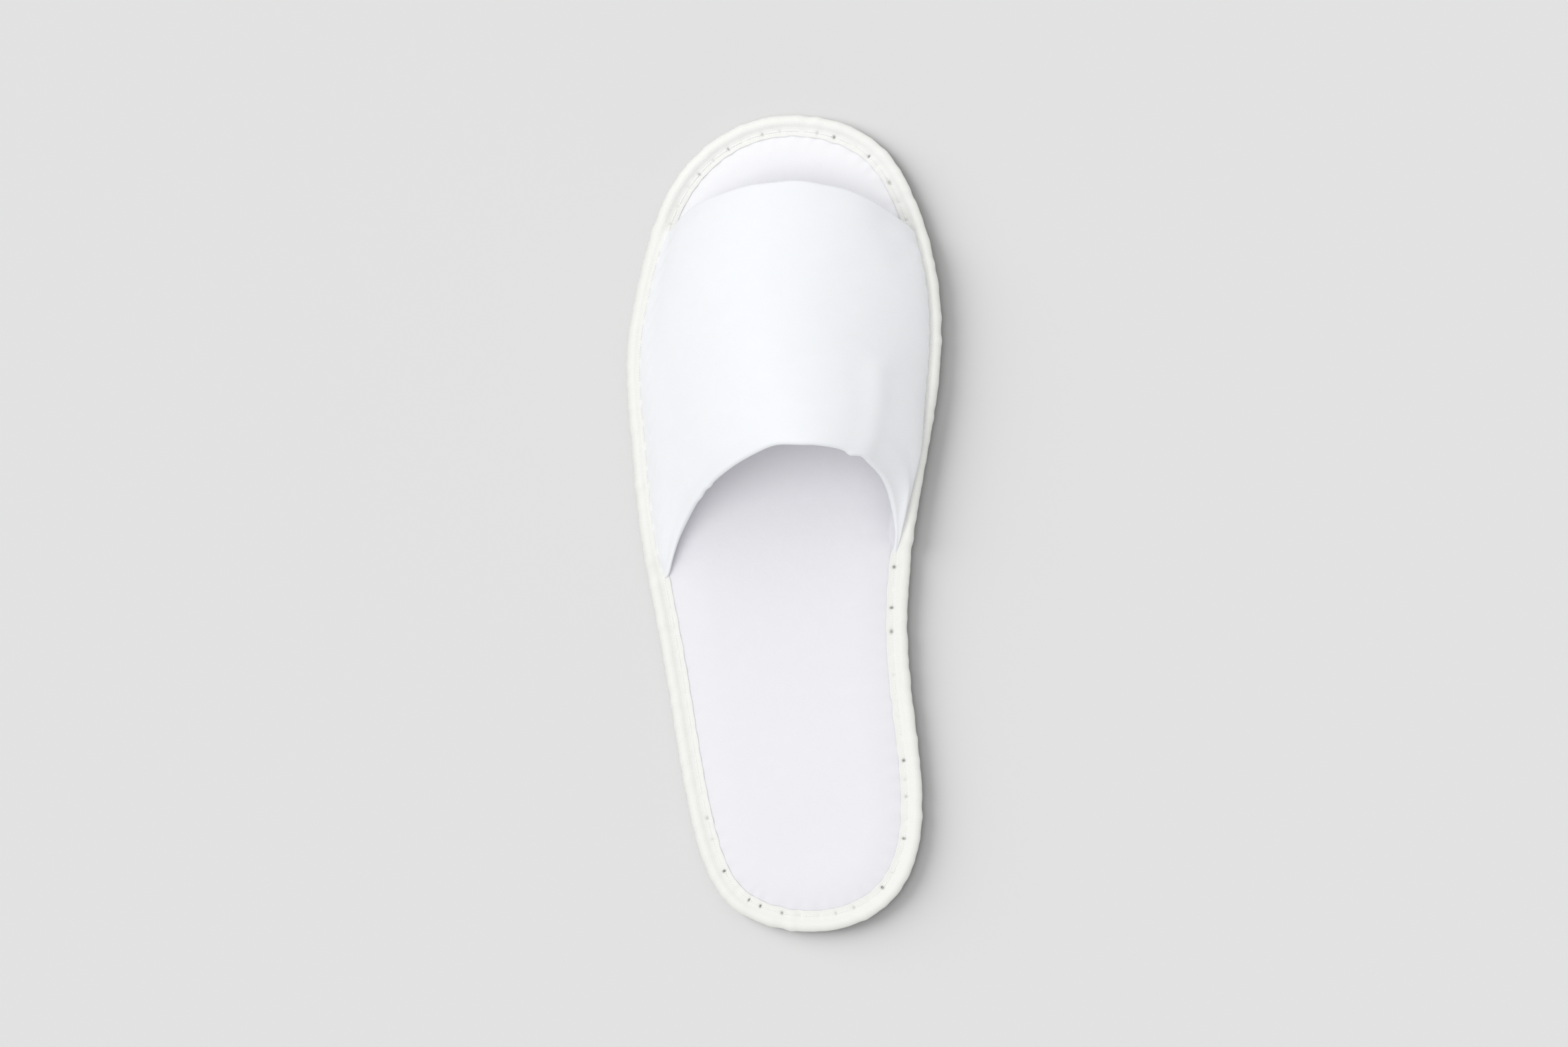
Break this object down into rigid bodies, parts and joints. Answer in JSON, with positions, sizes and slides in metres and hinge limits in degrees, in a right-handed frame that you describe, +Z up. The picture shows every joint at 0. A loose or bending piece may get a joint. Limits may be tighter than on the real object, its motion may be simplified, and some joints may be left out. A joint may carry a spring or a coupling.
{
  "type": "hotel slipper",
  "caption": "Open-toe hotel slipper for the left foot: flat foam sole, padded fabric upper bent into a vault, edge bound with folded tape.",
  "frame": {"origin": "on the floor under the middle of the slipper's length and width", "axes": "+Y from the heel to the toes, +Z up, +X to the inner side, which on this left slipper is the big toe's"},
  "size_m": [0.11, 0.285, 0.054],
  "materials": {
    "outsole": "matt closed-cell EVA foam sheet, off-white",
    "insole": "brushed non-woven fabric over thin sponge, matt, cool white",
    "upper": "brushed non-woven fabric over thin sponge, matt, cool white",
    "binding": "folded non-woven tape, matt, warm white"
  },
  "bodies": {
    "root": {"outsole": "outsole", "insole": "insole", "upper": "upper", "binding": "binding"}
  },
  "joints": []
}
